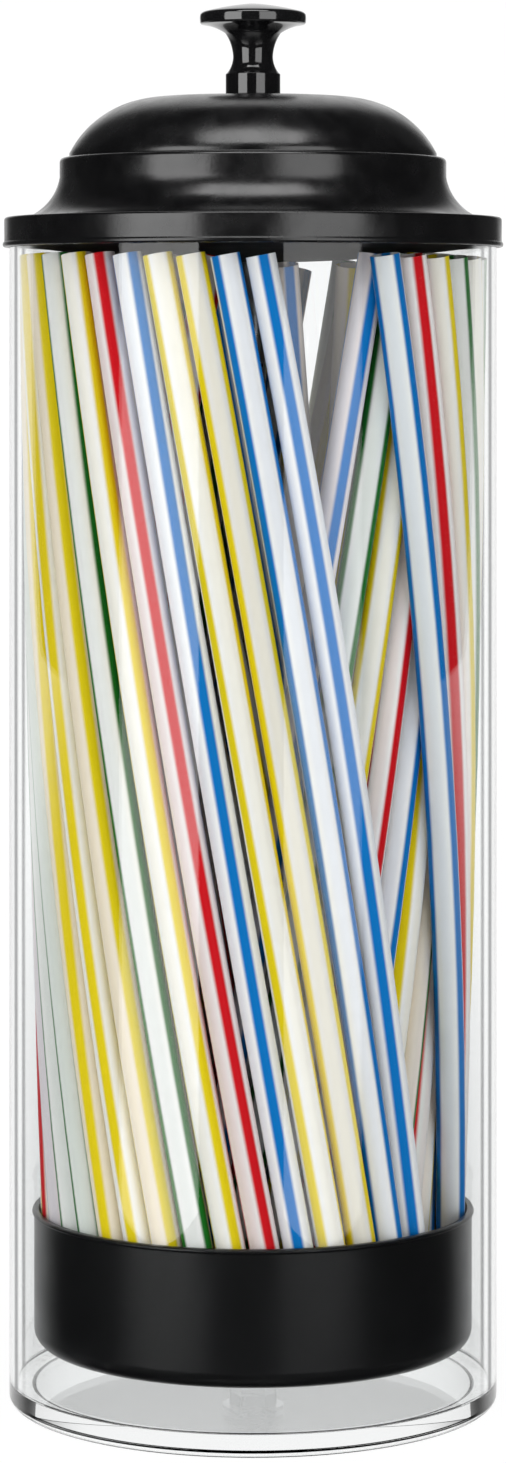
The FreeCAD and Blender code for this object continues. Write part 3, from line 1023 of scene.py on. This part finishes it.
@dataclass
class Straws:
    """The striped straws, each a copy of one hollow tube laid along its own line."""

    radius: float = 2.8 * MM
    wall: float = 0.2 * MM
    length: float = 214 * MM
    seat: float = 13.2 * MM
    bottom_r: float = 38.55 * MM
    top_r: float = 43.3 * MM
    ring_step: float = 5.8 * MM
    bow: float = 0.4 * MM
    inner_splay: float = 1.2 * MM
    lean_wave: float = 2.5
    lean_wave_step: float = 20.0
    sides: int = 24
    rings: int = 14
    seed: int = 7
    marks: int = 900

    def build(self) -> None:
        """Build one piece for each colour of the outer ring, and of the rings inside it."""
        master = self.master()
        random = np.random.default_rng(self.seed)
        made: dict[str, list[bpy.types.Object]] = {}
        for ring in self.layout():
            for first, letters in ring.bunches:
                for i, letter in enumerate(letters):
                    top = math.radians(first + i * ring.step)
                    lean = math.radians(self.lean_wave * math.sin(math.radians(i * self.lean_wave_step)))
                    centre = self.centreline(ring, top + math.radians(ring.twist) + lean / 2, top - lean / 2)
                    colour = next(c for c in StrawColour if c.letter == letter)
                    node = "straws_%s_%s" % (ring.node, colour.name.lower())
                    marks = random.integers(0, self.marks, 2) + 0.5
                    made.setdefault(node, []).append(self.copy(master, centre, marks))
        bpy.data.objects.remove(master)
        for node, straws in made.items():
            colour = next(c for c in StrawColour if node.endswith(c.name.lower()))
            piece = self.joined(straws, node + "_striped")
            dress(piece, colour.finish, Body.SPINDLE, colour.slot, node)

    def layout(self) -> list[StrawRing]:
        """Return the outer, middle and inner rings."""
        outer = StrawRing("outer", self.bottom_r, self.top_r, 53.0, 9.05,
                          ((34.6, "BRYGYGRBYRGBYG"), (172.9, "GYBGRYYRBGGYYYGYRBYYBB")), self.bow)
        middle = StrawRing("inner", self.bottom_r - self.ring_step, self.top_r - self.ring_step, -62.0, 11.0,
                           ((37.0, "BGYRBYGRYB"), (182.0, "YRGBYYGRBYGYRBYR")), self.bow)
        low = self.bottom_r - 2 * self.ring_step
        inner = StrawRing("inner", low, low + self.inner_splay, 115.0, 30.0, ((12.0, "BYGRYBGYRGYB"),), None)
        return [outer, middle, inner]

    def centreline(self, ring: StrawRing, bottom_angle: float, top_angle: float) -> Callable[[np.ndarray], tuple]:
        """Return a function that gives a straw's line.

        Args:
            ring: The straw's ring.
            bottom_angle: Where its low end stands, in radians.
            top_angle: Where its high end stands.

        Returns:
            A function from shares of the length to points, and to unit vectors along and across the straw.
        """
        low = np.array([math.sin(bottom_angle), -math.cos(bottom_angle), 0]) * ring.bottom_r
        high = np.array([math.sin(top_angle), -math.cos(top_angle), 0]) * ring.top_r
        across = high - low
        out = (low + high) / 2
        flat = float(np.linalg.norm(across))
        sag = 0.0 if ring.bow is None else (ring.bottom_r + ring.top_r) / 2 + ring.bow - float(np.linalg.norm(out))
        out /= np.linalg.norm(out)
        chord = self.length - 8 * sag ** 2 / (3 * self.length)
        low[2] = self.seat + self.radius * (flat + 4 * sag) / self.length
        step = across + np.array([0, 0, math.sqrt(chord ** 2 - flat ** 2)])
        side = np.cross(step, out)
        side /= np.linalg.norm(side)

        def line(shares: np.ndarray) -> tuple[np.ndarray, np.ndarray, np.ndarray]:
            """Return points, outward vectors and sideways vectors at shares of the length."""
            share = shares[:, None]
            points = low + step * share + out * sag * 4 * share * (1 - share)
            along = step + out * sag * 4 * (1 - 2 * share)
            along /= np.linalg.norm(along, axis=1, keepdims=True)
            outward = np.cross(side, along)
            return points, outward, np.broadcast_to(side, outward.shape)

        return line

    def master(self) -> bpy.types.Object:
        """Model the straight hollow straw that the others copy, standing on the origin."""
        deselect()
        bpy.ops.mesh.primitive_cylinder_add(vertices=self.sides, radius=self.radius, depth=self.length,
                                            end_fill_type="NOTHING", location=(0, 0, self.length / 2))
        piece = settle(bpy.context.object)
        bpy.ops.object.mode_set(mode="EDIT")
        bpy.ops.mesh.select_mode(type="EDGE")
        bpy.ops.mesh.select_all(action="DESELECT")
        mesh = bmesh.from_edit_mesh(piece.data)
        for edge in mesh.edges:
            edge.select_set(abs(edge.verts[0].co.z - edge.verts[1].co.z) > self.length / 2)
        bmesh.update_edit_mesh(piece.data)
        bpy.ops.mesh.subdivide(number_cuts=self.rings)
        bpy.ops.object.mode_set(mode="OBJECT")
        apply_modifier(piece, "SOLIDIFY", thickness=self.wall, offset=-1.0)
        choose(piece)
        bpy.ops.object.shade_smooth_by_angle(angle=SHARP_ANGLE)
        return piece

    def copy(self, master: bpy.types.Object, line: Callable, marks: np.ndarray) -> bpy.types.Object:
        """Copy the master straw and lay it along a line.

        Args:
            master: The straight straw.
            line: The function that gives the straw's line.
            marks: Two numbers that tell this straw from the others, each halfway between whole numbers.

        Returns:
            The laid straw.
        """
        mesh = master.data.copy()
        rest = np.zeros(len(mesh.vertices) * 3)
        mesh.vertices.foreach_get("co", rest)
        rest = rest.reshape(-1, 3)
        points, outward, sideways = line(rest[:, 2] / self.length)
        placed = points + outward * rest[:, :1] + sideways * rest[:, 1:2]
        mesh.vertices.foreach_set("co", placed.ravel())
        corners = np.zeros(len(mesh.loops), dtype=np.int32)
        mesh.loops.foreach_get("vertex_index", corners)
        around = mesh.uv_layers.active
        around.name = "along"
        uv = np.zeros(len(corners) * 2)
        around.data.foreach_get("uv", uv)
        uv[1::2] = rest[corners, 2] / self.length
        around.data.foreach_set("uv", uv)
        straw = mesh.uv_layers.new(name="straw", do_init=False)
        straw.data.foreach_set("uv", np.tile(marks, len(corners)))
        piece = bpy.data.objects.new("straw", mesh)
        bpy.context.scene.collection.objects.link(piece)
        return piece

    def joined(self, straws: list[bpy.types.Object], name: str) -> bpy.types.Object:
        """Join straws of one colour into one piece."""
        choose(straws[0])
        for straw in straws:
            straw.select_set(True)
        bpy.ops.object.join()
        piece = bpy.context.object
        piece.name = name
        piece.data.name = name
        return piece


@dataclass(frozen=True)
class Rays:
    """What kind of ray meets the studio. One of the first three signals is 1 and the others are 0.

    Attributes:
        straight: The ray comes from the camera, straight or through clear plastic.
        mirrored: A glossy surface has turned it.
        matt: A matt surface has turned it.
        sharp: 1 where the last surface was a perfect mirror or window, next to any of the three.
    """

    straight: Signal
    mirrored: Signal
    matt: Signal
    sharp: Signal

    @classmethod
    def on(cls, bench: Bench) -> "Rays":
        """Read the ray's kind on a bench."""
        matt = bench.ray("Diffuse Depth").ramp(*HALF_WAY)
        gloss = bench.ray("Glossy Depth").ramp(*HALF_WAY)
        return cls((1 - matt) * (1 - gloss), (1 - matt) * gloss, matt, bench.ray("Is Singular Ray"))


@dataclass(frozen=True)
class Backdrop(Finish):
    """White paper that shows as plain white and still holds a faint shadow of what stands on it.

    shadow_share of it is lit paper, and the rest is plain glow. Glossy surfaces see through it in front of the
    object, to the dark room and the softboxes' feet. Behind the object they see it white, from dark_until to
    white_from metres along Y, and satin ones see only the middle of that wall. From behind it can be seen through,
    so that the object can be looked at from all round.
    """

    name: str = "studio_white_paper"
    shadow_share: float = 0.12
    glow: float = 1.06
    colour: Colour = srgb(240, 240, 240)
    dark: float = 0.04
    dark_until: float = 0.0
    white_from: float = 0.7
    middle: float = 0.25
    side: float = 0.8

    def surface(self, bench: Bench) -> Signal:
        """Return the paper's shader."""
        rays = Rays.on(bench)
        place = bench.place()
        behind = bench.axis(place, "Y").ramp(self.dark_until, self.white_from)
        middle = abs(bench.axis(place, "X")).ramp(self.middle, self.side, 1.0, 0.0)
        lit = rays.sharp + (1 - rays.sharp) * middle
        paper = bench.node("ShaderNodeBsdfDiffuse", {}, {"Color": self.colour})
        glow = bench.node("ShaderNodeEmission", {}, {"Strength": self.glow})
        wall = bench.node("ShaderNodeEmission", {}, {"Strength": lit * (1 - self.dark) + self.dark})
        clear = bench.node("ShaderNodeBsdfTransparent", {}, {})
        share = rays.straight * (1 - self.shadow_share)
        seen = bench.mix(share, paper, glow)
        mirror = bench.mix(behind, clear, wall)
        front = bench.mix(rays.mirrored, seen, mirror)
        back = bench.node("ShaderNodeNewGeometry", {}, {}, "Backfacing")
        return bench.mix(back, front, clear)


@dataclass
class Studio:
    """The camera, two tall softboxes and one overhead, a dim room and a white paper sweep."""

    eye_distance: float = 844.8 * MM
    eye_height: float = 208.9 * MM
    lens: float = 105.4
    shift: float = -0.2697
    box_distance: float = 1.5
    box_foot: float = -0.27
    box_top: float = 1.3
    left_azimuth: float = -44.5
    left_width: float = 39.0
    left_radiance: float = 1.9
    right_azimuth: float = 32.5
    right_width: float = 37.0
    right_radiance: float = 1.3
    fill: float = 0.45
    room_gloss: float = 0.01
    dark_until: float = 0.5
    white_from: float = 0.85
    top_forward: float = 0.45
    top_height: float = 1.2
    top_tilt: float = math.radians(25)
    top_width: float = 0.9
    top_depth: float = 0.5
    top_radiance: float = 2.4
    sweep_back: float = 0.9
    sweep_front: float = 1.6
    sweep_half: float = 1.8
    sweep_height: float = 2.2
    sweep_bend: float = 0.6
    sweep_steps: int = 24

    def build(self) -> None:
        """Set up everything that isn't part of the object."""
        view = bpy.context.scene.view_settings
        view.view_transform = "Standard"
        self.camera()
        self.softbox("softbox_left", self.left_azimuth, self.left_width, self.left_radiance)
        self.softbox("softbox_right", self.right_azimuth, self.right_width, self.right_radiance)
        self.overhead()
        self.room()
        self.sweep()

    def camera(self) -> None:
        """Place the camera level in front of the object, with the picture shifted down to it."""
        bpy.ops.object.camera_add(location=(0, -self.eye_distance, self.eye_height),
                                  rotation=(math.pi / 2, 0, 0))
        camera = bpy.context.object
        camera.data.lens = self.lens
        camera.data.sensor_width = 36.0
        camera.data.shift_y = self.shift
        bpy.context.scene.camera = camera

    def softbox(self, name: str, azimuth: float, width: float, radiance: float) -> None:
        """Hang one tall softbox that faces the object.

        Args:
            name: The lamp's name.
            azimuth: Its middle, in degrees from the camera's side towards +X.
            width: The angle that it spans, in degrees.
            radiance: How bright its face is, where white paper is 1.
        """
        angle = math.radians(azimuth)
        wide = 2 * self.box_distance * math.tan(math.radians(width / 2))
        height = self.box_top - self.box_foot
        middle = (self.box_top + self.box_foot) / 2
        place = (self.box_distance * math.sin(angle), -self.box_distance * math.cos(angle), middle)
        bpy.ops.object.light_add(type="AREA", location=place, rotation=(math.pi / 2, 0, angle))
        lamp = bpy.context.object
        lamp.name = name
        lamp.data.shape = "RECTANGLE"
        lamp.data.size = wide
        lamp.data.size_y = height
        lamp.data.energy = radiance * math.pi * wide * height

    def overhead(self) -> None:
        """Hang the weak softbox above the front of the object, which draws the lid's edges and dome."""
        bpy.ops.object.light_add(type="AREA", location=(0, -self.top_forward, self.top_height),
                                 rotation=(self.top_tilt, 0, 0))
        lamp = bpy.context.object
        lamp.name = "softbox_overhead"
        lamp.data.shape = "RECTANGLE"
        lamp.data.size = self.top_width
        lamp.data.size_y = self.top_depth
        lamp.data.energy = self.top_radiance * math.pi * self.top_width * self.top_depth

    def room(self) -> None:
        """Light the room: white where it is looked at, dim where it is not, and white in polish only at the back."""
        world = bpy.data.worlds.new("studio_room")
        world.use_nodes = True
        bpy.context.scene.world = world
        bench = Bench(world.node_tree)
        rays = Rays.on(bench)
        heading = bench.node("ShaderNodeTexCoord", {}, {}, "Generated")
        behind = bench.axis(heading, "Y").ramp(self.dark_until, self.white_from) * rays.sharp
        mirrored = behind * (1 - self.room_gloss) + self.room_gloss
        strength = rays.straight + rays.mirrored * mirrored + rays.matt * self.fill
        light = bench.node("ShaderNodeBackground", {}, {"Color": srgb(255, 255, 255), "Strength": strength})
        bench.node("ShaderNodeOutputWorld", {}, {"Surface": light})

    def sweep(self) -> None:
        """Model the paper: a floor that bends up into a wall behind the object."""
        deselect()
        bpy.ops.mesh.primitive_plane_add(size=1, location=(0, (self.sweep_back - self.sweep_front) / 2, 0))
        piece = bpy.context.object
        piece.name = "paper_sweep"
        piece.scale = (2 * self.sweep_half, self.sweep_back + self.sweep_front, 1)
        settle(piece)
        bpy.ops.object.mode_set(mode="EDIT")
        bpy.ops.mesh.select_mode(type="EDGE")
        bpy.ops.mesh.select_all(action="DESELECT")
        mesh = bmesh.from_edit_mesh(piece.data)
        for edge in mesh.edges:
            edge.select_set(all(v.co.y > self.sweep_back - MM for v in edge.verts))
        bmesh.update_edit_mesh(piece.data)
        bpy.ops.mesh.spin(steps=self.sweep_steps, angle=-math.pi / 2, axis=(1, 0, 0),
                          center=(0, self.sweep_back, self.sweep_bend))
        bpy.ops.mesh.extrude_region_move(TRANSFORM_OT_translate={"value": (0, 0, self.sweep_height)})
        bpy.ops.object.mode_set(mode="OBJECT")
        bpy.ops.object.shade_smooth_by_angle(angle=SHARP_ANGLE)
        piece.data.materials.append(Backdrop().material())


def main() -> None:
    """Build the dispenser and the studio in order."""
    logging.basicConfig(level=logging.INFO, format="%(message)s")
    for assembly in (Jar(), Lid(), Knob(), Cup(), Straws(), Studio()):
        LOG.info("%s", type(assembly).__name__)
        assembly.build()


if __name__ == "__main__":
    main()
